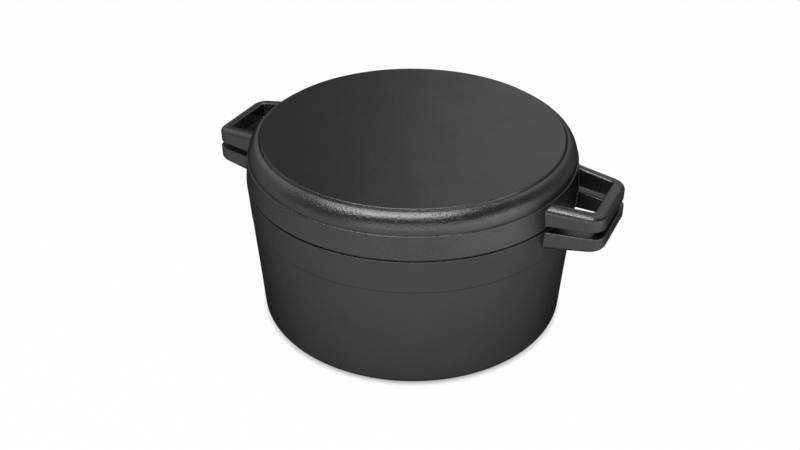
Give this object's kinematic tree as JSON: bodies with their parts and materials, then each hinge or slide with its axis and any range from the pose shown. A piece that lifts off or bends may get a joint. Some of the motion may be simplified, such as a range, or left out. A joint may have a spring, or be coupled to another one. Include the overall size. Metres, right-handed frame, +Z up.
{
  "type": "dutch oven",
  "caption": "Round cast-iron dutch oven: a deep pot with a shallow pan turned over on it as the lid, both with looped side handles, for cooking over coals or on a hob.",
  "frame": {"origin": "centre of the pot's base, on the surface that it stands on", "axes": "+Z up along the pot's axis, +X through the handles, +Y across them"},
  "size_m": [0.3406, 0.27, 0.156],
  "materials": {
    "seasoned_iron": "sand-cast, oil-seasoned, satin black"
  },
  "bodies": {
    "pot": {"pot_body": "seasoned_iron", "pot_handle_right": "seasoned_iron", "pot_handle_left": "seasoned_iron"},
    "lid": {"lid_pan": "seasoned_iron", "lid_handle_right": "seasoned_iron", "lid_handle_left": "seasoned_iron"}
  },
  "joints": [
    {"name": "lid_lift", "type": "slide", "parent": "pot", "child": "lid", "axis": [0, 0, 1], "range_m": [0, 0.15]}
  ]
}
